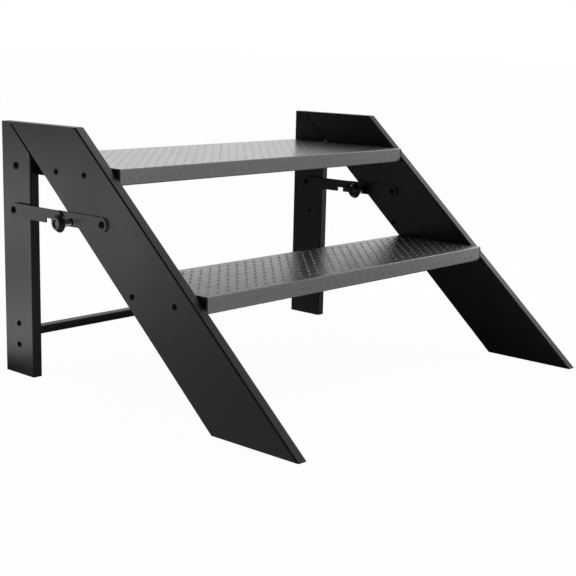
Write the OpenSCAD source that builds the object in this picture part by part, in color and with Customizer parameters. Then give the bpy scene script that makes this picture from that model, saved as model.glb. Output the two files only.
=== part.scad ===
// Two-tread folding entry step. Millimetres, +Z up, the user climbs towards +Y.
// The origin is the centre of the base of the whole step's box.
// Distances called "fwd" are measured forwards (-Y) from the rear face of the legs.

/* [Overall] */
// Width over the outer faces of the two stringers
overall_w = 815; // [500:5:1100]
// Height of the legs and of the stringers' upper ends
overall_h = 464; // [440:1:520]
// Slope of the stringers from the floor, in degrees
slope = 41.5; // [39:0.5:44]

/* [Stringers] */
// Width of a stringer, square to its slope
stringer_w = 125; // [110:1:140]
// Thickness of a stringer
stringer_t = 20; // [16:0.5:26]
// Rear edge of a stringer at the top, forward of the legs' rear face
stringer_set = 24.7; // [20:0.1:30]
// Radius of the long edges of stringers and legs
edge_r = 3; // [1:0.5:5]

/* [Treads] */
// Thickness of both treads
tread_t = 28; // [24:0.5:34]
// Upper tread's top, below the stringers' upper ends
upper_drop = 64; // [58:1:72]
// Height from the lower tread's top to the upper tread's top
rise = 185; // [175:1:195]
// How far the upper tread stands out in front of the stringers
upper_nose = 19.3; // [5:0.1:24]
// How far the lower tread stands out in front of the stringers
lower_nose = 22.7; // [5:0.1:26]
// Depth of the lower tread
lower_depth = 208; // [190:1:220]
// Thickness of the black end caps of the treads
cap_t = 3; // [2:0.5:5]
// Radius of the treads' long edges
tread_r = 2; // [1:0.5:4]

/* [Legs] */
// Depth of a leg, front to back
leg_w = 85; // [76:1:88]
// Height of the leg pivot below the upper tread's top
pivot_drop = 14; // [12:0.5:18]
// Gap between a leg's mitred head and its stringer
mitre_gap = 2; // [1:0.25:3.5]
// Running gap between a leg and the end of the upper tread
leg_gap = 0.4; // [0.3:0.05:0.8]

/* [Crossbar] */
// Depth of the crossbar
bar_w = 21; // [16:0.5:26]
// Height of the crossbar
bar_h = 15; // [12:0.5:20]
// Height of the middle of the crossbar above the floor
bar_z = 75.5; // [65:0.5:90]
// Middle of the crossbar, forward of the legs' rear face
bar_fwd = 34; // [28:0.5:42]
// Distance between the two screws of an end plate
plate_pitch = 40; // [34:1:50]
// Width of an end plate
plate_w = 40; // [30:1:46]
// Distance from an end plate's screws to its ends
plate_edge = 10; // [9:1:16]
// Thickness of an end plate
plate_t = 4; // [3:0.5:6]

/* [Lock stays] */
// Stay's pivots, below the stringers' upper ends
stay_drop = 157.5; // [150:0.5:162]
// Stay pivot on the stringer, in front of the stringer's rear edge at that height
stay_inset = 84.8; // [78:0.1:90]
// Distance from the leg's stay pivot to the knuckle
rear_link_l = 127; // [120:0.5:132]
// Height of the stay's bars
link_w = 25; // [20:0.5:28]
// Thickness of the stay's bars
link_t = 3; // [2.5:0.1:3.5]
// Gap between the stringer and the front link
stay_gap = 0.5; // [0.4:0.1:1]
// Gap between the two links
link_gap = 0.3; // [0.25:0.05:0.5]
// Distance of the rear link's notch from the knuckle
notch_from = 16; // [14:0.5:18]
// Length of the notch
notch_l = 16; // [12:0.5:18]
// Depth of the notch
notch_h = 8.7; // [6:0.1:9]

/* [Pull plungers] */
// Distance of the plunger from the knuckle, towards the stringer
plunger_off = 34; // [32:0.5:36]
// Height of the plunger below the stay's middle line
plunger_drop = 4.5; // [3:0.5:5]
// Diameter of the plunger's barrel
barrel_d = 14; // [12:0.5:15]
// Length of the barrel in front of its nut
barrel_l = 17; // [15:0.5:20]
// Diameter of the plunger's pin
pin_d = 6; // [5:0.5:6.5]
// Travel of the pull knob
pull = 8; // [5:0.5:8]
// Largest diameter of the pull knob
knob_d = 32; // [26:0.5:34]
// Thickness of the pull knob
knob_t = 12; // [10:0.5:14]

/* [Fasteners] */
// Thread of the tread and end plate screws
screw_d = 6; // [5:0.5:8]
// Thread of the stay bolts
bolt_d = 8; // [6:0.5:9]
// Shoulder of the leg pivot bolts
shoulder_d = 10; // [9:0.5:12]
// Radial running clearance of every pivot
run = 0.05; // [0.03:0.01:0.1]

/* [Hidden] */
$fn = 64;

black = [0.09, 0.09, 0.10];
tread_black = [0.16, 0.16, 0.17];
bar_black = [0.07, 0.07, 0.08];
screw_black = [0.05, 0.05, 0.05];
zinc = [0.62, 0.63, 0.65];
alu = [0.70, 0.71, 0.72];
brass = [0.78, 0.64, 0.33];

// Screw and nut proportions
head_d = 1.75 * screw_d;
head_h = 0.55 * screw_d;
bolt_head_d = 1.62 * bolt_d;
bolt_head_h = 0.5 * bolt_d;
nut_af = 1.62 * bolt_d;
nut_h = 0.62 * bolt_d;
thread_end = 1.5;
insert_wall = 1.5;
insert_l = 18;
hole_clear = 0.2;
seat_gap = 0.3;
bush_wall = 1;
pivot_head_d = shoulder_d + 3;
plate_r = 5;
bar_r = 2;
spacer_d = bolt_d + 7;
rivet_d = bolt_d + 4;
rivet_top_d = bolt_d + 1;
rivet_h = 2;

// Plunger details, along its own axis
plunger_nut_d = 15;
plunger_nut_t = 3;
spigot_d = 10;
knob_gap = 0.5;
knob_face_d = 22;
knob_dish_d = 14;
collar_d = 9.5;
collar_t = 2;
chamber_d = 10.2;
wire_d = 1;

// Stay layers, measured off the face that carries the stay
front_u = stay_gap;
rear_u = front_u + link_t + link_gap;
stay_top_u = rear_u + link_t;
nut_u = front_u + link_t;
barrel_u = nut_u + plunger_nut_t;
knob_u = barrel_u + barrel_l + knob_gap;
chamber_wall = 1;
chamber_u = barrel_u + chamber_wall;
chamber_l = barrel_l - 2 * chamber_wall;
knob_top_u = knob_u + knob_t;

// The box of the whole step
cut_w = stringer_w / sin(slope);
run_l = overall_h / tan(slope);
function rear_fwd(drop) = stringer_set + drop / tan(slope);
depth = stringer_set + run_l + cut_w;
reach_left = knob_top_u;
reach_right = nut_h + thread_end;
x_left = reach_left - (overall_w + reach_left + reach_right) / 2;
x_right = x_left + overall_w;
inner_w = overall_w - 2 * stringer_t;
leg_t = stringer_t - leg_gap;
big = 2 * overall_w;

// Treads: the heights of their tops, and their front edges
upper_z = overall_h - upper_drop;
upper_depth = rear_fwd(upper_drop) + cut_w + upper_nose;
lower_z = upper_z - rise;
lower_fwd = rear_fwd(upper_drop + rise) + cut_w + lower_nose;

// Pivots
stay_z = overall_h - stay_drop;
stay_front_fwd = rear_fwd(stay_drop) + stay_inset;
pivot_fwd = leg_w / 2;
pivot_z = upper_z - pivot_drop;
knuckle_fwd = pivot_fwd + rear_link_l;
plunger_fwd = knuckle_fwd + plunger_off;
plunger_z = stay_z - plunger_drop;
// Distance from the leg pivot to the stringer's rear edge, square to the slope
pivot_edge = (rear_fwd(upper_drop + pivot_drop) - pivot_fwd) * sin(slope);
head_r = pivot_edge - mitre_gap;
// Largest reach of the leg's head round its pivot
swing_gap = 0.4;
swing_r = pivot_edge - swing_gap;

// Places of the fasteners: [forward, height]
upper_screw_set = 68;
upper_screw_pitch = 77;
upper_screw_drop = 15;
lower_screw_set = 53;
lower_screw_pitch = 104;
lower_screw_drop = 21;
upper_screws = screw_pair(upper_depth - upper_screw_set, upper_screw_pitch, upper_z - upper_screw_drop);
lower_screws = screw_pair(lower_fwd - lower_screw_set, lower_screw_pitch, lower_z - lower_screw_drop);
plate_screws = [[pivot_fwd, bar_z - plate_pitch / 2], [pivot_fwd, bar_z + plate_pitch / 2]];
accessory_drop = 224.5;
accessory_inset = 15.5;
accessory_shift = 7.5;
accessory_l = 14;
stringer_accessory = [rear_fwd(accessory_drop) + accessory_inset, overall_h - accessory_drop];
leg_accessory = [pivot_fwd + accessory_shift, overall_h - accessory_drop];
sides = [-1, 1];

function y_at(fwd) = depth / 2 - fwd;
function screw_pair(front, pitch, z) = [[front - pitch, z], [front, z]];
// Outer face of one side, and the face that carries its stay
function x_outer(side) = side < 0 ? x_left : x_right;
function x_stay(side) = side < 0 ? x_left : x_right - stringer_t;

// Draws its child with Z pointing inwards from a side's outer face
module from_outside(side, place) {
    translate([x_outer(side), y_at(place[0]), place[1]]) rotate([0, -90 * side, 0]) children();
}

// Draws its child with Z pointing away from the stay's face, towards -X
module off_stay(side, fwd, z) {
    translate([x_stay(side), y_at(fwd), z]) rotate([0, -90, 0]) children();
}

// Extrudes an outline drawn in the Y-Z plane along +X
module along_x(length) {
    rotate([90, 0, 90]) linear_extrude(length) children();
}

module rounded_square(w, h, r) {
    square([w - 2 * r, h], center = true);
    square([w, h - 2 * r], center = true);
    for (i = sides, j = sides) translate([i * (w / 2 - r), j * (h / 2 - r)]) circle(r);
}

module ring(r_out, r_in, h) {
    difference() {
        cylinder(r = r_out, h = h);
        translate([0, 0, -1]) cylinder(r = r_in, h = h + 2);
    }
}

// Domed head with a hexagon socket, seated at Z = 0 and rising to -Z
module button_head(d, h) {
    socket_af = 0.38 * d;
    rim = 0.25 * h;
    dome_r = (pow(d / 2, 2) + pow(h - rim, 2)) / (2 * (h - rim));
    mirror([0, 0, 1]) difference() {
        intersection() {
            cylinder(d = d, h = h);
            translate([0, 0, h - dome_r]) sphere(dome_r, $fn = 96);
        }
        translate([0, 0, 0.4 * h]) cylinder(d = socket_af / cos(30), h = h, $fn = 6);
    }
}

module hex_nut(af, h, bore_r) {
    difference() {
        cylinder(d = af / cos(30), h = h, $fn = 6);
        translate([0, 0, -1]) cylinder(r = bore_r, h = h + 2);
    }
}

module hole_through(place, r) {
    translate([-big / 2, y_at(place[0]), place[1]]) rotate([0, 90, 0]) cylinder(r = r, h = big);
}

module accessory_hole(side, place) {
    inner = side < 0 ? x_left + stringer_t : x_right - stringer_t;
    translate([inner + side * accessory_l, y_at(place[0]), place[1]]) rotate([0, -90 * side, 0])
        cylinder(r = bolt_d / 2 + insert_wall, h = accessory_l + 1);
}

module stringer(side) {
    x_mid = x_outer(side) - side * stringer_t / 2;
    centre_fwd = stringer_set + run_l / 2 + cut_w / 2;
    color(black) difference() {
        intersection() {
            translate([x_mid, y_at(centre_fwd), overall_h / 2]) rotate([slope - 90, 0, 0])
                linear_extrude(2 * depth, center = true) rounded_square(stringer_t, stringer_w, edge_r);
            translate([-big / 2, -big / 2, 0]) cube([big, big, overall_h]);
        }
        for (p = concat(upper_screws, lower_screws)) hole_through(p, screw_d / 2 + hole_clear);
        hole_through([stay_front_fwd, stay_z], bolt_d / 2 + hole_clear / 2);
        accessory_hole(side, stringer_accessory);
    }
}

// One length of a tread's section, with its threaded inserts' bores
module tread_length(x_low, length, fwd, board_depth, top_z, screws, pivot) {
    difference() {
        translate([x_low, y_at(fwd - board_depth / 2), top_z - tread_t / 2])
            along_x(length) rounded_square(board_depth, tread_t, tread_r);
        for (side = sides) {
            for (p = screws) from_outside(side, p) translate([0, 0, stringer_t - 1])
                cylinder(r = screw_d / 2 + insert_wall, h = insert_l + 1);
            if (pivot) from_outside(side, [pivot_fwd, pivot_z]) translate([0, 0, stringer_t - 1])
                cylinder(r = bolt_d / 2 + insert_wall, h = insert_l + 1);
        }
    }
}

// The treads fill the space between the stringers; their last few millimetres are the end caps
module upper_length(x_low, length) {
    tread_length(x_low, length, upper_depth, upper_depth, upper_z, upper_screws, true);
}

module lower_length(x_low, length) {
    tread_length(x_low, length, lower_fwd, lower_depth, lower_z, lower_screws, false);
}

module tread_end_caps() {
    color(bar_black) for (side = sides) {
        x_low = side < 0 ? x_left + stringer_t : x_right - stringer_t - cap_t;
        upper_length(x_low, cap_t);
        lower_length(x_low, cap_t);
    }
}

module tread_screws() {
    color(screw_black) for (side = sides, p = concat(upper_screws, lower_screws)) from_outside(side, p) {
        button_head(head_d, head_h);
        cylinder(d = screw_d, h = stringer_t + insert_l - 2);
    }
}

module tread_inserts() {
    color(brass) for (side = sides, p = concat(upper_screws, lower_screws)) from_outside(side, p)
        translate([0, 0, stringer_t]) ring(screw_d / 2 + insert_wall, screw_d / 2, insert_l);
}

module pivot_inserts() {
    color(brass) for (side = sides) from_outside(side, [pivot_fwd, pivot_z])
        translate([0, 0, stringer_t]) ring(bolt_d / 2 + insert_wall, bolt_d / 2, insert_l);
}

// Shoulder bolts: the shoulder runs in the leg's bush and seats on the insert
module pivot_bolts() {
    color(screw_black) for (side = sides) from_outside(side, [pivot_fwd, pivot_z]) {
        translate([0, 0, -seat_gap]) {
            button_head(pivot_head_d, bolt_head_h);
            cylinder(d = shoulder_d, h = stringer_t + seat_gap);
        }
        cylinder(d = bolt_d, h = stringer_t + insert_l - 2);
    }
}

module pivot_bushes() {
    color(bar_black) for (side = sides) from_outside(side, [pivot_fwd, pivot_z])
        ring(shoulder_d / 2 + run + bush_wall, shoulder_d / 2 + run, leg_t);
}

// Side view of a leg: its head is mitred along the stringer, with one corner taken off to swing clear
module leg_outline() {
    top_fwd = pivot_fwd + (head_r - (overall_h - pivot_z) * cos(slope)) / sin(slope);
    corner = 90 - slope - acos(head_r / swing_r);
    polygon([[y_at(0), 0], [y_at(0), overall_h], [y_at(top_fwd), overall_h],
        [y_at(pivot_fwd + swing_r * cos(corner)), pivot_z + swing_r * sin(corner)],
        [y_at(leg_w), pivot_z + sqrt(pow(swing_r, 2) - pow(leg_w - pivot_fwd, 2))], [y_at(leg_w), 0]]);
}

module leg(side) {
    x_low = side < 0 ? x_left : x_right - leg_t;
    color(black) difference() {
        intersection() {
            translate([x_low, 0, 0]) along_x(leg_t) leg_outline();
            translate([x_low + leg_t / 2, y_at(leg_w / 2), 0])
                linear_extrude(overall_h) rounded_square(leg_t, leg_w, edge_r);
        }
        hole_through([pivot_fwd, pivot_z], shoulder_d / 2 + run + bush_wall);
        hole_through([pivot_fwd, stay_z], bolt_d / 2 + hole_clear / 2);
        for (p = plate_screws) hole_through(p, screw_d / 2 + hole_clear);
        accessory_hole(side, leg_accessory);
    }
}

module accessory_inserts(place, face_gap) {
    color(screw_black) for (side = sides) from_outside(side, place)
        translate([0, 0, stringer_t - accessory_l])
            ring(bolt_d / 2 + insert_wall, bolt_d / 2, accessory_l - face_gap);
}

// Bar with a plate welded on each end
module crossbar() {
    plate_h = plate_pitch + 2 * plate_edge;
    bar_l = overall_w - 2 * leg_t;
    color(bar_black) difference() {
        union() {
            translate([x_left + leg_t, y_at(bar_fwd), bar_z]) along_x(bar_l) rounded_square(bar_w, bar_h, bar_r);
            for (side = sides) translate([x_outer(side) - side * (leg_t + plate_t / 2) - plate_t / 2,
                y_at(pivot_fwd), bar_z]) along_x(plate_t) rounded_square(plate_w, plate_h, plate_r);
        }
        for (p = plate_screws) hole_through(p, screw_d / 2 + hole_clear);
    }
}

module crossbar_screws() {
    color(screw_black) for (side = sides, p = plate_screws) from_outside(side, p) {
        button_head(head_d, head_h);
        cylinder(d = screw_d, h = leg_t + plate_t + nut_h + thread_end);
    }
}

module crossbar_nuts() {
    color(zinc) for (side = sides, p = plate_screws) from_outside(side, p)
        translate([0, 0, leg_t + plate_t]) hex_nut(1.66 * screw_d, nut_h, screw_d / 2);
}

// Bolt that carries one end of a stay, from its head to the nut behind the board
module stay_bolt(side, fwd, head_u) {
    off_stay(side, fwd, stay_z) {
        translate([0, 0, -stringer_t - nut_h - thread_end])
            cylinder(d = bolt_d, h = stringer_t + nut_h + thread_end + head_u);
        translate([0, 0, head_u]) mirror([0, 0, 1]) button_head(bolt_head_d, bolt_head_h);
    }
}

module stringer_stay_bolts() {
    color(screw_black) for (side = sides) {
        stay_bolt(side, stay_front_fwd, nut_u + seat_gap);
    }
}

module leg_stay_bolts() {
    color(screw_black) for (side = sides) stay_bolt(side, pivot_fwd, stay_top_u + seat_gap);
}

// Nuts behind the boards; "leg" gives the leg's thinner board on the left side
module stay_nuts(fwd, left_t) {
    color(zinc) for (side = sides) off_stay(side, fwd, stay_z)
        translate([0, 0, -(side < 0 ? left_t : stringer_t) - nut_h]) hex_nut(nut_af, nut_h, bolt_d / 2);
}

// Distance tubes between the legs and the rear links
module leg_stay_spacers() {
    color(zinc) for (side = sides) off_stay(side, pivot_fwd, stay_z) {
        foot_u = side < 0 ? 0 : -leg_gap;
        translate([0, 0, foot_u]) ring(spacer_d / 2, bolt_d / 2 + run, rear_u - link_gap - foot_u);
    }
}

// Flat bar with round ends, between two distances forward at one height
module link_outline(fwd_a, fwd_b) {
    translate([y_at(fwd_b), stay_z - link_w / 2]) square([fwd_b - fwd_a, link_w]);
    for (f = [fwd_a, fwd_b]) translate([y_at(f), stay_z]) circle(link_w / 2);
}

module stay_hole(side, fwd, z, r) {
    off_stay(side, fwd, z) translate([0, 0, -1]) cylinder(r = r, h = stay_top_u + 2);
}

module rear_link(side) {
    color(bar_black) difference() {
        translate([x_stay(side) - rear_u - link_t, 0, 0]) along_x(link_t) difference() {
            link_outline(pivot_fwd, knuckle_fwd);
            translate([y_at(knuckle_fwd - notch_from), stay_z - link_w / 2 - 1])
                square([notch_l, notch_h + 1]);
        }
        stay_hole(side, pivot_fwd, stay_z, bolt_d / 2 + run);
        stay_hole(side, knuckle_fwd, stay_z, bolt_d / 2);
    }
}

module front_link(side) {
    color(bar_black) difference() {
        translate([x_stay(side) - front_u - link_t, 0, 0]) along_x(link_t)
            link_outline(knuckle_fwd, stay_front_fwd);
        stay_hole(side, stay_front_fwd, stay_z, bolt_d / 2 + run);
        stay_hole(side, knuckle_fwd, stay_z, bolt_d / 2);
        stay_hole(side, plunger_fwd, plunger_z, spigot_d / 2);
    }
}

// The knuckle's rivet is in two halves, one in each link
module knuckle_stud(side) {
    color(screw_black) off_stay(side, knuckle_fwd, stay_z) translate([0, 0, rear_u]) {
        cylinder(d = bolt_d, h = link_t);
        translate([0, 0, link_t]) cylinder(d1 = rivet_d, d2 = rivet_top_d, h = rivet_h);
    }
}

module knuckle_socket(side) {
    color(screw_black) off_stay(side, knuckle_fwd, stay_z) translate([0, 0, front_u])
        ring(bolt_d / 2, 2.5, link_t);
}

// Turned barrel: a threaded spigot in the link, and a spring chamber between two end walls
module plunger_barrel(side) {
    color(alu) off_stay(side, plunger_fwd, plunger_z) difference() {
        union() {
            translate([0, 0, front_u]) cylinder(d = spigot_d, h = barrel_u - front_u);
            translate([0, 0, barrel_u]) cylinder(d = barrel_d, h = barrel_l);
        }
        translate([0, 0, -1]) cylinder(r = pin_d / 2 + run, h = knob_top_u);
        translate([0, 0, chamber_u]) cylinder(d = chamber_d, h = chamber_l);
    }
}

module plunger_nut(side) {
    color(screw_black) off_stay(side, plunger_fwd, plunger_z) translate([0, 0, nut_u])
        ring(plunger_nut_d / 2, spigot_d / 2, plunger_nut_t);
}

// Pin with the collar that the spring pushes on
module plunger_pin(side) {
    color(zinc) off_stay(side, plunger_fwd, plunger_z) {
        translate([0, 0, front_u]) cylinder(d = pin_d, h = knob_top_u - 4 - front_u);
        translate([0, 0, chamber_u + 0.2]) cylinder(d = collar_d, h = collar_t);
    }
}

// Points round the wire at one place of the helix
function wire_ring(a, z, coil_r, sides_n) = [for (k = [0 : sides_n - 1])
    let (b = 360 * k / sides_n, r = coil_r + wire_d / 2 * cos(b))
    [r * cos(a), r * sin(a), z + wire_d / 2 * sin(b)]];

// Coil spring, drawn as short as the pulled knob makes it
module plunger_spring(side) {
    turns = 3.5;
    per_turn = 16;
    n = 6;
    rings = turns * per_turn;
    coil_r = (chamber_d + pin_d) / 4;
    squeezed_l = chamber_l - 0.2 - collar_t - pull;
    z_low = chamber_u + chamber_l - squeezed_l + wire_d / 2 + 0.1;
    rise = squeezed_l - wire_d - 0.2;
    points = [for (i = [0 : rings]) each wire_ring(360 * i / per_turn, z_low + rise * i / rings, coil_r, n)];
    sides_f = [for (i = [0 : rings - 1], k = [0 : n - 1])
        [i * n + k, i * n + (k + 1) % n, (i + 1) * n + (k + 1) % n, (i + 1) * n + k]];
    caps = [[for (k = [n - 1 : -1 : 0]) k], [for (k = [0 : n - 1]) rings * n + k]];
    color(zinc) off_stay(side, plunger_fwd, plunger_z) polyhedron(points, concat(sides_f, caps));
}

// Round knob, widest near its back, with a dished face
module pull_knob(side) {
    r = knob_d / 2;
    color(screw_black) off_stay(side, plunger_fwd, plunger_z) translate([0, 0, knob_u]) difference() {
        rotate_extrude() polygon([[0, 0], [r - 5, 0], [r - 1.2, 1.6], [r, 3.2], [r - 0.8, 5.2],
            [r - 3, 8], [knob_face_d / 2, knob_t - 0.6], [knob_face_d / 2 - 0.6, knob_t], [0, knob_t]]);
        translate([0, 0, knob_t - 3.5]) cylinder(d1 = knob_dish_d - 3, d2 = knob_dish_d + 0.6, h = 3.6);
        translate([0, 0, -1]) cylinder(d = pin_d, h = knob_t - 4 + 1);
    }
}

stringer(-1);  // stringer_left
stringer(1);  // stringer_right
color(tread_black)  // upper_tread
    upper_length(x_left + stringer_t + cap_t, inner_w - 2 * cap_t);
color(tread_black)  // lower_tread
    lower_length(x_left + stringer_t + cap_t, inner_w - 2 * cap_t);
tread_end_caps();
tread_screws();
tread_inserts();
pivot_bolts();
pivot_inserts();
accessory_inserts(stringer_accessory, 0);  // stringer_accessory_inserts
stringer_stay_bolts();
stay_nuts(stay_front_fwd, stringer_t);  // stringer_stay_nuts
leg(-1);  // leg_left
leg(1);  // leg_right
crossbar();
crossbar_screws();
crossbar_nuts();
pivot_bushes();
accessory_inserts(leg_accessory, leg_gap);  // leg_accessory_inserts
leg_stay_bolts();
stay_nuts(pivot_fwd, leg_t);  // leg_stay_nuts
leg_stay_spacers();
rear_link(-1);  // rear_link_left
rear_link(1);  // rear_link_right
knuckle_stud(-1);  // knuckle_stud_left
knuckle_stud(1);  // knuckle_stud_right
front_link(-1);  // front_link_left
front_link(1);  // front_link_right
knuckle_socket(-1);  // knuckle_socket_left
knuckle_socket(1);  // knuckle_socket_right
plunger_barrel(-1);  // plunger_barrel_left
plunger_barrel(1);  // plunger_barrel_right
plunger_nut(-1);  // plunger_nut_left
plunger_nut(1);  // plunger_nut_right
plunger_spring(-1);  // plunger_spring_left
plunger_spring(1);  // plunger_spring_right
plunger_pin(-1);  // plunger_pin_left
plunger_pin(1);  // plunger_pin_right
pull_knob(-1);  // pull_knob_left
pull_knob(1);  // pull_knob_right
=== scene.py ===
# Two-tread folding entry step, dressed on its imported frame. Metres, +Z up, climbed towards +Y.
import math

import bpy
from mathutils import Matrix, Vector


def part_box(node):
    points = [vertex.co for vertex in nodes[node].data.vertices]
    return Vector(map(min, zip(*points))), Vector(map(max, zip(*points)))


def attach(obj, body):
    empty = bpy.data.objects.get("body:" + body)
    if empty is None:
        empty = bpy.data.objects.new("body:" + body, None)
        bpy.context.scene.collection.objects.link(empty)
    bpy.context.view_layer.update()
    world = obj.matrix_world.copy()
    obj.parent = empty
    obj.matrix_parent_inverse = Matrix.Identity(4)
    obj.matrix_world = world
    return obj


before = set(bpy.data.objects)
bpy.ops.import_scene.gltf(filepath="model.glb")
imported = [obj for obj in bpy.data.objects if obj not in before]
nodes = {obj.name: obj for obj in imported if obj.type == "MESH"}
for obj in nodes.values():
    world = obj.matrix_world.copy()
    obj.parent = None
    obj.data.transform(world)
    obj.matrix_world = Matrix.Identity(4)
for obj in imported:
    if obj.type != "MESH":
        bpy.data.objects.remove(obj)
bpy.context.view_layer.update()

# The camera stands to the left of the step and in front of it, a little above the upper tread.
# Its place is measured from the foot of the left leg, at the leg's outer rear corner.
leg_low, leg_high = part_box("leg_left")
camera_left_of_leg = 1.2869
camera_before_leg = 1.8706
camera_height = 0.6066
camera_place = Vector((leg_low.x - camera_left_of_leg, leg_high.y - camera_before_leg, camera_height))
camera_turn = math.radians(47.91)
camera_dip = math.radians(11.23)
camera_roll = math.radians(1.37)
sensor_width = 36
focal_pixels = 1214.15
image_pixels = 576


def camera_frame(turn, dip, roll):
    """Axes of a camera turned from +Y towards +X, dipped below the horizon and rolled."""
    ahead = Vector((math.sin(turn) * math.cos(dip), math.cos(turn) * math.cos(dip), -math.sin(dip)))
    level = Vector((math.cos(turn), -math.sin(turn), 0))
    above = level.cross(ahead)
    across = level * math.cos(roll) + above * math.sin(roll)
    upward = above * math.cos(roll) - level * math.sin(roll)
    return Matrix((across, upward, -ahead)).transposed()


camera_data = bpy.data.cameras.new("studio_camera")
camera_data.sensor_width = sensor_width
camera_data.lens = focal_pixels / image_pixels * sensor_width
camera = bpy.data.objects.new("studio_camera", camera_data)
camera_axes = camera_frame(camera_turn, camera_dip, camera_roll)
camera.matrix_world = Matrix.Translation(camera_place) @ camera_axes.to_4x4()
bpy.context.scene.collection.objects.link(camera)
bpy.context.scene.camera = camera


# A node tree is written as sums and products of sockets. Ink wraps one socket, and Recipe adds
# nodes to one tree: first a node's settings, then the values or links of its sockets.
class Ink:
    def __init__(self, recipe, socket):
        self.recipe = recipe
        self.socket = socket

    def _maths(self, operation, *terms):
        return self.recipe.node("ShaderNodeMath", {"operation": operation}, dict(enumerate(terms)))

    def __add__(self, other):
        return self._maths("ADD", self, other)

    def __sub__(self, other):
        return self._maths("SUBTRACT", self, other)

    def __rsub__(self, other):
        return self._maths("SUBTRACT", other, self)

    def __mul__(self, other):
        return self._maths("MULTIPLY", self, other)

    def at_least(self, other):
        return self._maths("MAXIMUM", self, other)

    __radd__ = __add__
    __rmul__ = __mul__


class Recipe:
    def __init__(self, tree):
        self.tree = tree

    def node(self, kind, settings=None, inputs=None, output=0):
        """One output of a new node, or a list of them where a tuple of names asks for several."""
        made = self.tree.nodes.new(kind)
        for key, value in (settings or {}).items():
            setattr(made, key, value)
        for key, value in (inputs or {}).items():
            self.feed(made.inputs[key], value)
        if isinstance(output, tuple):
            return [Ink(self, made.outputs[name]) for name in output]
        return Ink(self, made.outputs[output])

    def feed(self, socket, value):
        if isinstance(value, Ink):
            self.tree.links.new(value.socket, socket)
        else:
            socket.default_value = value

    def ramp(self, value, start, stop, before=0.0, after=1.0):
        """A number that goes from before to after while the value goes from start to stop."""
        return self.node("ShaderNodeMapRange", inputs={
            "Value": value, "From Min": start, "From Max": stop, "To Min": before, "To Max": after})

    def blend(self, factor, start, end):
        """A number between two. The Mix node's sockets for them are told apart only by number."""
        return self.node("ShaderNodeMix", inputs={0: factor, 2: start, 3: end})

    def blend_shaders(self, factor, start, end):
        return self.node("ShaderNodeMixShader", inputs={0: factor, 1: start, 2: end})


class Finish(Recipe):
    """The recipe of one material, which ends in a Principled shader."""

    noise_middle = (0.3, 0.7)

    def __init__(self, name):
        self.material = bpy.data.materials.new(name)
        self.material.use_nodes = True
        super().__init__(self.material.node_tree)
        self.shader = self.tree.nodes["Principled BSDF"]

    def noise(self, scale, detail, stretch=(1, 1, 1)):
        spot = self.node("ShaderNodeTexCoord", output="Object")
        place = self.node("ShaderNodeMapping", inputs={"Vector": spot, "Scale": stretch})
        return self.node("ShaderNodeTexNoise", inputs={
            "Vector": place, "Scale": scale, "Detail": detail})

    def tint(self, noise, dark, light):
        """A colour between two, in the Mix node's sockets for colours."""
        return self.node("ShaderNodeMix", {"data_type": "RGBA"},
                         {"Factor": noise, 6: (*dark, 1), 7: (*light, 1)}, output=2)

    def between(self, noise, low, high):
        """A number between two, which the middle part of the noise sweeps."""
        return self.ramp(noise, *self.noise_middle, before=low, after=high)

    def bump(self, height, distance, strength):
        return self.node("ShaderNodeBump", inputs={
            "Height": height, "Distance": distance, "Strength": strength})

    def finish(self, colour, roughness, normal=None, metallic=0.0, specular=0.5):
        sockets = {"Base Color": colour, "Roughness": roughness, "Metallic": metallic,
                   "Specular IOR Level": specular}
        if normal is not None:
            sockets["Normal"] = normal
        for key, value in sockets.items():
            self.feed(self.shader.inputs[key], value)
        return self.material


def dress(names, material):
    for name in names:
        slots = nodes[name].data.materials
        slots.clear()
        slots.append(material)


# Stringers and legs are boards of extruded aluminium with rounded long edges.
# They are powder coated black, half gloss, with a fine orange-peel skin.
def powder_coat():
    coat = Finish("black powder coat")
    peel = coat.noise(scale=900, detail=1)
    cloud = coat.noise(scale=6, detail=3)
    colour = coat.tint(cloud, dark=(0.004, 0.004, 0.0042), light=(0.007, 0.007, 0.0074))
    roughness = coat.between(cloud, low=0.38, high=0.44)
    skin = coat.bump(peel, distance=0.00004, strength=0.5)
    return coat.finish(colour, roughness, skin, specular=0.15)


dress(("stringer_left", "stringer_right", "leg_left", "leg_right"), powder_coat())


# Both treads are aluminium extrusions with rounded edges, screwed between the stringers.
# Their skin is a dark grey metal with a fine grain along the extrusion.
def tread_coat():
    coat = Finish("tread coat")
    grain = coat.noise(scale=220, detail=2, stretch=(0.08, 1, 1))
    cloud = coat.noise(scale=9, detail=3)
    colour = coat.tint(cloud, dark=(0.110, 0.111, 0.113), light=(0.130, 0.131, 0.133))
    roughness = coat.between(grain, low=0.26, high=0.32)
    skin = coat.bump(grain, distance=0.00005, strength=0.4)
    return coat.finish(colour, roughness, skin, metallic=1.0)


tread_skin = tread_coat()
dress(("upper_tread", "lower_tread"), tread_skin)

# The treads carry a raised lozenge pattern on their tops and fronts, as chequer plate has. In one
# square lattice the lozenges slant one way, and in its gaps fainter ones slant the other way.
# The upper tread is seen nearly edge on and shows its pattern faintly, so it is raised less.
pattern_pitch = 0.0225
front_row_pitch = 0.0200
pattern_margin = 0.004
lozenge = {"Length": 0.0130, "Width": 0.0042}
lozenge_slant = math.radians(45)
full_scale = (1, 1, 1)
faint_scale = (0.9, 0.65, 0.18)
front_rise = 0.00030
top_rises = {"upper_tread": 0.00036, "lower_tread": 0.00110}


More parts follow.
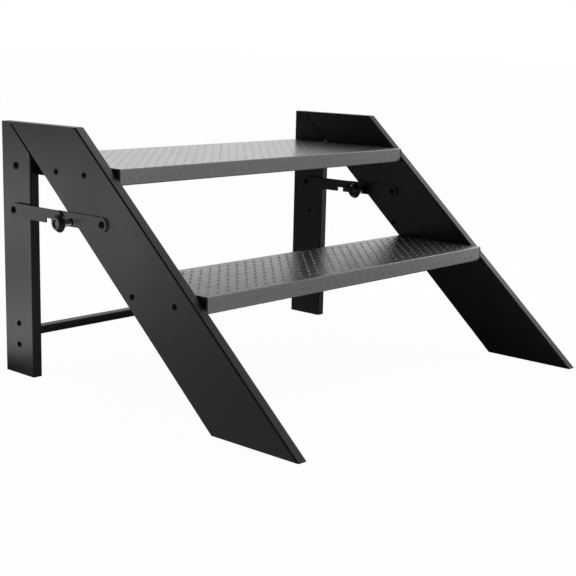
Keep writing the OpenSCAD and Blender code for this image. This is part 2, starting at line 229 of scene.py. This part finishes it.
def lozenge_plate_tree():
    tree = bpy.data.node_groups.new("lozenge_plate", "GeometryNodeTree")
    plate = Recipe(tree)
    sizes = {"Columns": "Int", "Rows": "Int", "Column Pitch": "Float", "Row Pitch": "Float",
             "Length": "Float", "Width": "Float", "Rise": "Float",
             "Tilt": "Vector", "Centre": "Vector", "Skin": "Material"}
    for name, kind in sizes.items():
        tree.interface.new_socket(name=name, in_out="INPUT", socket_type="NodeSocket" + kind)
    tree.interface.new_socket(name="Geometry", in_out="OUTPUT", socket_type="NodeSocketGeometry")
    size = dict(zip(sizes, plate.node("NodeGroupInput", output=tuple(sizes))))
    bead = plate.node("GeometryNodeMeshUVSphere", inputs={"Segments": 10, "Rings": 6})
    bead_scale = plate.node("ShaderNodeCombineXYZ", inputs={
        "X": size["Length"] * 0.5, "Y": size["Width"] * 0.5, "Z": size["Rise"]})
    bead = plate.node("GeometryNodeTransform", inputs={"Geometry": bead, "Scale": bead_scale})
    bead = plate.node("GeometryNodeSetShadeSmooth", inputs={"Geometry": bead})
    both = tree.nodes.new("GeometryNodeJoinGeometry")
    lattices = ((size["Columns"], size["Rows"], lozenge_slant, full_scale),
                (size["Columns"] + 1, size["Rows"] + 1, -lozenge_slant, faint_scale))
    for columns, rows, turn, scale in lattices:
        grid = plate.node("GeometryNodeMeshGrid", inputs={
            "Vertices X": columns, "Vertices Y": rows,
            "Size X": (columns - 1) * size["Column Pitch"], "Size Y": (rows - 1) * size["Row Pitch"]})
        field = plate.node("GeometryNodeInstanceOnPoints", inputs={
            "Points": grid, "Instance": bead, "Rotation": (0, 0, turn), "Scale": scale})
        tree.links.new(field.socket, both.inputs["Geometry"])
    laid = plate.node("GeometryNodeTransform", inputs={
        "Geometry": Ink(plate, both.outputs[0]), "Translation": size["Centre"], "Rotation": size["Tilt"]})
    laid = plate.node("GeometryNodeRealizeInstances", inputs={"Geometry": laid})
    laid = plate.node("GeometryNodeSetMaterial", inputs={"Geometry": laid, "Material": size["Skin"]})
    tree.links.new(laid.socket, tree.nodes.new("NodeGroupOutput").inputs["Geometry"])
    return tree


def grown(name, tree, values):
    """The plain mesh object that a geometry tree makes with these inputs."""
    seed = bpy.data.objects.new(name + "_seed", bpy.data.meshes.new(name + "_seed"))
    bpy.context.scene.collection.objects.link(seed)
    growth = seed.modifiers.new("growth", "NODES")
    growth.node_group = tree
    for item in tree.interface.items_tree:
        if item.in_out == "INPUT":
            growth[item.identifier] = values[item.name]
    depsgraph = bpy.context.evaluated_depsgraph_get()
    mesh = bpy.data.meshes.new_from_object(seed.evaluated_get(depsgraph), depsgraph=depsgraph)
    bpy.data.objects.remove(seed)
    mesh.name = name
    made = bpy.data.objects.new(name, mesh)
    bpy.context.scene.collection.objects.link(made)
    return made


lozenge_plate = lozenge_plate_tree()


def clad_with_lozenges(tread, top_rise):
    low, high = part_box(tread)
    middle = (low + high) / 2
    columns = int((high.x - low.x - lozenge["Length"] - pattern_margin) / pattern_pitch)
    rows = int((high.y - low.y - 2 * pattern_margin) / pattern_pitch)
    shared = {"Columns": columns, "Column Pitch": pattern_pitch, "Skin": tread_skin, **lozenge}
    top = {"Rows": rows, "Row Pitch": pattern_pitch, "Rise": top_rise, "Tilt": (0, 0, 0),
           "Centre": (middle.x, middle.y, high.z)}
    front = {"Rows": 1, "Row Pitch": front_row_pitch, "Rise": front_rise,
             "Tilt": (math.radians(90), 0, 0), "Centre": (middle.x, low.y, middle.z)}
    for part, layout in (("top", top), ("front", front)):
        pattern = grown(f"{tread}_{part}_lozenges", lozenge_plate, {**shared, **layout})
        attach(pattern, "frame")


for tread, top_rise in top_rises.items():
    clad_with_lozenges(tread, top_rise)


# The crossbar has a plate welded on each end, and the four stay bars are flat with round ends.
# They are steel, coated black like the boards with a slightly grittier skin, and bolted on.
def steel_coat():
    coat = Finish("black coated steel")
    grit = coat.noise(scale=700, detail=2)
    cloud = coat.noise(scale=14, detail=2)
    colour = coat.tint(cloud, dark=(0.004, 0.004, 0.0042), light=(0.007, 0.007, 0.0074))
    roughness = coat.between(grit, low=0.38, high=0.44)
    skin = coat.bump(grit, distance=0.00003, strength=0.3)
    return coat.finish(colour, roughness, skin, specular=0.15)


dress(("crossbar", "rear_link_left", "rear_link_right", "front_link_left", "front_link_right"),
      steel_coat())


# Screws, bolts, rivets and the plungers' nuts are turned from steel and blackened.
# They are the darkest metal on the step, darker than the boards that they hold.
def blackened():
    finish = Finish("blackened steel")
    wear = finish.noise(scale=350, detail=2)
    colour = finish.tint(wear, dark=(0.003, 0.003, 0.0032), light=(0.006, 0.006, 0.0063))
    return finish.finish(colour, finish.between(wear, low=0.34, high=0.44), specular=0.05)


dress(("tread_screws", "pivot_bolts", "stringer_stay_bolts", "crossbar_screws", "leg_stay_bolts",
       "knuckle_stud_left", "knuckle_stud_right", "knuckle_socket_left", "knuckle_socket_right",
       "plunger_nut_left", "plunger_nut_right"), blackened())


# Nuts, distance tubes, plunger pins and springs are zinc plated steel, bright and faintly
# spangled. They sit behind the boards and inside the barrels, where no paint is needed.
def zinc_plate():
    finish = Finish("zinc plate")
    spangle = finish.noise(scale=500, detail=2)
    colour = finish.tint(spangle, dark=(0.48, 0.49, 0.51), light=(0.62, 0.63, 0.65))
    return finish.finish(colour, finish.between(spangle, low=0.26, high=0.36), metallic=1.0)


dress(("stringer_stay_nuts", "crossbar_nuts", "leg_stay_nuts", "leg_stay_spacers",
       "plunger_spring_left", "plunger_spring_right", "plunger_pin_left", "plunger_pin_right"),
      zinc_plate())


# The threaded inserts that the tread screws and the pivot bolts bite into are turned brass.
# They are pressed into the ends of the treads.
def turned_brass():
    finish = Finish("turned brass")
    turned = finish.noise(scale=420, detail=2, stretch=(1, 0.3, 0.3))
    colour = finish.tint(turned, dark=(0.50, 0.36, 0.15), light=(0.66, 0.50, 0.24))
    return finish.finish(colour, finish.between(turned, low=0.28, high=0.40), metallic=1.0)


dress(("tread_inserts", "pivot_inserts"), turned_brass())


# The tread end caps and the sleeves of the leg pivots are matt black plastic, and the threaded
# inserts in the boards' inner faces are as matt and black.
def matt_plastic():
    finish = Finish("matt black plastic")
    grain = finish.noise(scale=800, detail=2)
    colour = finish.tint(grain, dark=(0.004, 0.004, 0.0042), light=(0.007, 0.007, 0.0073))
    roughness = finish.between(grain, low=0.50, high=0.60)
    skin = finish.bump(grain, distance=0.00004, strength=0.4)
    return finish.finish(colour, roughness, skin, specular=0.2)


dress(("tread_end_caps", "pivot_bushes", "stringer_accessory_inserts", "leg_accessory_inserts"),
      matt_plastic())


# Each pull plunger has a turned barrel of bare aluminium, held on the front bar of its stay by a
# nut, and a round knob with a dished face, moulded in black plastic.
def turned_aluminium():
    finish = Finish("turned aluminium")
    rings = finish.noise(scale=1500, detail=1, stretch=(1, 0.02, 0.02))
    colour = finish.tint(rings, dark=(0.50, 0.51, 0.52), light=(0.64, 0.65, 0.66))
    return finish.finish(colour, finish.between(rings, low=0.30, high=0.42), metallic=1.0)


def knob_moulding():
    finish = Finish("black knob moulding")
    grain = finish.noise(scale=1100, detail=1)
    colour = finish.tint(grain, dark=(0.005, 0.005, 0.0053), light=(0.009, 0.009, 0.0095))
    roughness = finish.between(grain, low=0.22, high=0.30)
    skin = finish.bump(grain, distance=0.00003, strength=0.4)
    return finish.finish(colour, roughness, skin, specular=0.12)


dress(("plunger_barrel_left", "plunger_barrel_right"), turned_aluminium())
dress(("pull_knob_left", "pull_knob_right"), knob_moulding())


# The studio has four soft lamps: one overhead, one on the right, a low one at the back on the
# left, and a card that lies on the floor behind the left leg and shines upwards.
def soft_lamp(name, place, aim, size, watts):
    data = bpy.data.lights.new(name, "AREA")
    data.shape = "RECTANGLE"
    data.size, data.size_y = size
    data.energy = watts
    lamp = bpy.data.objects.new(name, data)
    beam = Vector(aim) - Vector(place)
    lamp.matrix_world = Matrix.Translation(place) @ beam.to_track_quat("-Z", "Y").to_matrix().to_4x4()
    bpy.context.scene.collection.objects.link(lamp)
    return lamp


soft_lamp("overhead_softbox", place=(0.5, 0.45, 1.9), aim=(-0.3, 0.2, 0.3), size=(1.2, 1.0), watts=12)
left_lamp = soft_lamp("left_rear_softbox", place=(-1.2, 1.40, 0.14), aim=(-0.4, 0.25, 0.14),
                      size=(1.0, 0.26), watts=5)
floor_card = soft_lamp("left_floor_card", place=(-0.62, 0.62, 0.01), aim=(-0.62, 0.62, 1.0),
                       size=(0.35, 0.5), watts=2.0)
soft_lamp("right_softbox", place=(3.2, -0.40, 2.0), aim=(0.3, -0.1, 0.2), size=(1.2, 1.2), watts=23)


def light_group(title, names):
    group = bpy.data.collections.new(title)
    for name in names:
        group.objects.link(nodes[name])
    return group


# The left lamp reaches the left-hand boards, the crossbar and the left stay, and only the boards
# and bars among them shade it. The floor card reaches the left leg. The left plunger and its bar
# leave no dark mirror image on what is behind them.
left_boards = ("stringer_left", "leg_left", "crossbar", "rear_link_left", "front_link_left")
left_plunger = ("plunger_barrel_left", "pull_knob_left")
left_lit = light_group("lit by the left lamp", left_boards + left_plunger)
left_lamp.light_linking.receiver_collection = left_lit
left_lamp.light_linking.blocker_collection = light_group("in the left lamp's way", left_boards)
floor_card.light_linking.receiver_collection = light_group("lit by the floor card", ("leg_left",))
for name in (*left_plunger, "plunger_nut_left", "front_link_left"):
    nodes[name].visible_glossy = False

# The surround is white to the camera. What the step mirrors of it is white on the right and at
# the back, nearly black on the left, where a dark wall stands behind the lamp, and brightest low
# down. Its own light on the step is half as strong as white.
own_light = 0.5
dark_wall = 0.05
low_sky = 1.9
high_sky = 1.05
world = bpy.data.worlds.new("white surround")
bpy.context.scene.world = world
world.use_nodes = True
sky = Recipe(world.node_tree)
ray_kinds = ("Is Camera Ray", "Is Glossy Ray", "Is Transmission Ray")
sky_seen, sky_glossy, sky_through = sky.node("ShaderNodeLightPath", output=ray_kinds)
sky_way = sky.node("ShaderNodeTexCoord", output="Generated")
sky_x, sky_z = sky.node("ShaderNodeSeparateXYZ", inputs={0: sky_way}, output=("X", "Z"))
sky_mirrored = sky.ramp(sky_x, -0.35, 0.15, before=dark_wall) * sky.ramp(
    sky_z, 0.06, 0.18, before=low_sky, after=high_sky)
sky_level = sky.blend(sky_glossy, own_light, sky_mirrored)
sky_level = sky.blend(sky_seen.at_least(sky_through), sky_level, 1.0)
background = world.node_tree.nodes["Background"]
sky.feed(background.inputs["Color"], (1, 1, 1, 1))
sky.feed(background.inputs["Strength"], sky_level)

# The floor is pale paper. To the camera it is nearly all plain white, and the rest is lit paper,
# which keeps the step's shadow. In what the step mirrors, the paper is dim except for patches with
# soft straight edges: two on the left for the outer boards, a strip there for the right leg, one
# on the right for the edges that face the climber, and one far behind for the tops of the treads.
floor_reach = 60.0
paper_colour = (0.93, 0.93, 0.93, 1)
plain_white = 0.97
paper_dim = 0.04
floor_corners = [(-floor_reach, -floor_reach, 0), (floor_reach, -floor_reach, 0),
                 (floor_reach, floor_reach, 0), (-floor_reach, floor_reach, 0)]
floor_mesh = bpy.data.meshes.new("studio_floor")
floor_mesh.from_pydata(floor_corners, [], [(0, 1, 2, 3)])
floor = bpy.data.objects.new("studio_floor", floor_mesh)
bpy.context.scene.collection.objects.link(floor)
paper = Finish("pale studio paper")
paper_spot = paper.node("ShaderNodeTexCoord", output="Object")
paper_x, paper_y = paper.node("ShaderNodeSeparateXYZ", inputs={0: paper_spot}, output=("X", "Y"))
along_left = paper_x + paper_y * 1.1
along_right = paper_x - paper_y
along_back = paper_x + paper_y

near_left = paper.ramp(along_left, 0.0, -0.2, before=paper_dim)
bright_left = (paper.ramp(along_left, -0.35, -0.12) * paper.ramp(along_left, 0.1, 0.0)
               * paper.ramp(paper_y, 0.4, 0.7, after=5.0))
strip_left = (paper.ramp(along_left, 0.45, 0.65, after=0.6) * paper.ramp(along_left, 1.2, 1.0)
              * paper.ramp(paper_x, -1.9, -1.2))
front_right = (paper.ramp(along_right, 0.9, 1.15, before=paper_dim)
               * paper.ramp(along_back, 0.45, 0.9, before=1.0, after=1.9)
               * paper.ramp(along_right, 2.5, 4.5, before=1.0, after=0.5))
far_behind = paper.ramp(along_back, 2.2, 3.2, before=paper_dim, after=1.2)
mirrored = (near_left + bright_left + strip_left).at_least(front_right).at_least(far_behind)

paper_seen, paper_glossy, paper_through = paper.node("ShaderNodeLightPath", output=ray_kinds)
paper_diffuse = paper.node("ShaderNodeBsdfDiffuse", inputs={"Color": paper_colour})
paper_white = paper.node("ShaderNodeEmission", inputs={"Color": (1, 1, 1, 1), "Strength": 1.0})
paper_mirrored = paper.node("ShaderNodeEmission", inputs={"Color": (1, 1, 1, 1), "Strength": mirrored})
shown = paper_seen.at_least(paper_through) * plain_white
sheet = paper.blend_shaders(shown, paper_diffuse, paper_white)
sheet = paper.blend_shaders(paper_glossy, sheet, paper_mirrored)
paper.tree.links.new(sheet.socket, paper.tree.nodes["Material Output"].inputs["Surface"])
floor_mesh.materials.append(paper.material)

bpy.context.scene.view_settings.view_transform = "Standard"
